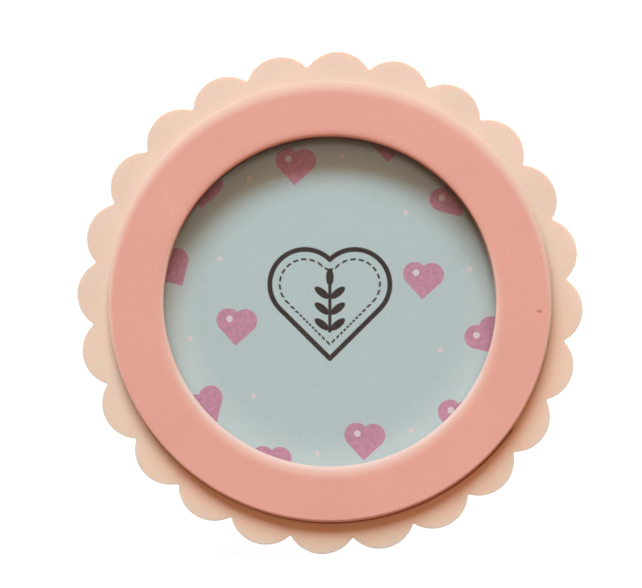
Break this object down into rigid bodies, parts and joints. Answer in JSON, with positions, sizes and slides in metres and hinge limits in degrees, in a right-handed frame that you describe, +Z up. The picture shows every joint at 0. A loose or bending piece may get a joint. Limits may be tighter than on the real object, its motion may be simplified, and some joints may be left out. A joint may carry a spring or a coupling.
{
  "type": "round photo frame",
  "caption": "Round standing photo frame: scalloped rim, raised ring round a glazed window, and a back held by turn buttons with a folding easel strut and a hanger.",
  "frame": {"origin": "on the table under the middle of the standing frame's box", "axes": "+Z up, the face looks towards -Y and leans back by 15 degrees, +X to the right of someone facing it"},
  "size_m": [0.1508, 0.0636, 0.1463],
  "materials": {
    "coral_paint": "soft matte paint on cast resin",
    "peach_paint": "soft matte paint on cast resin",
    "clear_glass": "clear float glass with seamed edges",
    "printed_paper": "matt paper with a printed pattern",
    "greyboard": "plain greyboard",
    "fibreboard": "raw medium density fibreboard",
    "flock": "short dark flock",
    "plated_steel": "bright zinc plate"
  },
  "bodies": {
    "frame": {"scalloped_body": "peach_paint", "front_ring": "coral_paint", "glass_pane": "clear_glass", "picture_insert": "printed_paper", "filler_board": "greyboard", "back_panel": "fibreboard", "panel_facing": "flock", "hinge_bracket": "plated_steel", "hinge_pin": "plated_steel", "bracket_rivets": "plated_steel", "button_screws": "plated_steel", "hanger_strap": "plated_steel", "hanger_rivet": "plated_steel"},
    "strut": {"easel_strut": "fibreboard", "strut_facing": "flock", "hinge_strap": "plated_steel", "strap_rivets": "plated_steel"},
    "hanger": {"hanger_ring": "plated_steel"},
    "turn_button_1": {"turn_button_1": "plated_steel"},
    "turn_button_2": {"turn_button_2": "plated_steel"},
    "turn_button_3": {"turn_button_3": "plated_steel"},
    "turn_button_4": {"turn_button_4": "plated_steel"}
  },
  "joints": [
    {"name": "easel_fold", "type": "hinge", "parent": "frame", "child": "strut", "pos_m": [0, 0.01234, 0.08586], "axis": [1, 0, 0], "range_deg": [-29, 0]},
    {"name": "hanger_swing", "type": "hinge", "parent": "frame", "child": "hanger", "pos_m": [0, 0.01507, 0.11515], "axis": [1, 0, 0], "range_deg": [-12, 150]},
    {"name": "turn_button_1_turn", "type": "hinge", "parent": "frame", "child": "turn_button_1", "pos_m": [-0.04384, 0.01284, 0.11248], "axis": [0, 0.9659, -0.2588], "continuous": true},
    {"name": "turn_button_2_turn", "type": "hinge", "parent": "frame", "child": "turn_button_2", "pos_m": [0.04384, 0.01284, 0.11248], "axis": [0, 0.9659, -0.2588], "continuous": true},
    {"name": "turn_button_3_turn", "type": "hinge", "parent": "frame", "child": "turn_button_3", "pos_m": [0.04384, -0.00986, 0.02778], "axis": [0, 0.9659, -0.2588], "continuous": true},
    {"name": "turn_button_4_turn", "type": "hinge", "parent": "frame", "child": "turn_button_4", "pos_m": [-0.04384, -0.00986, 0.02778], "axis": [0, 0.9659, -0.2588], "continuous": true}
  ]
}
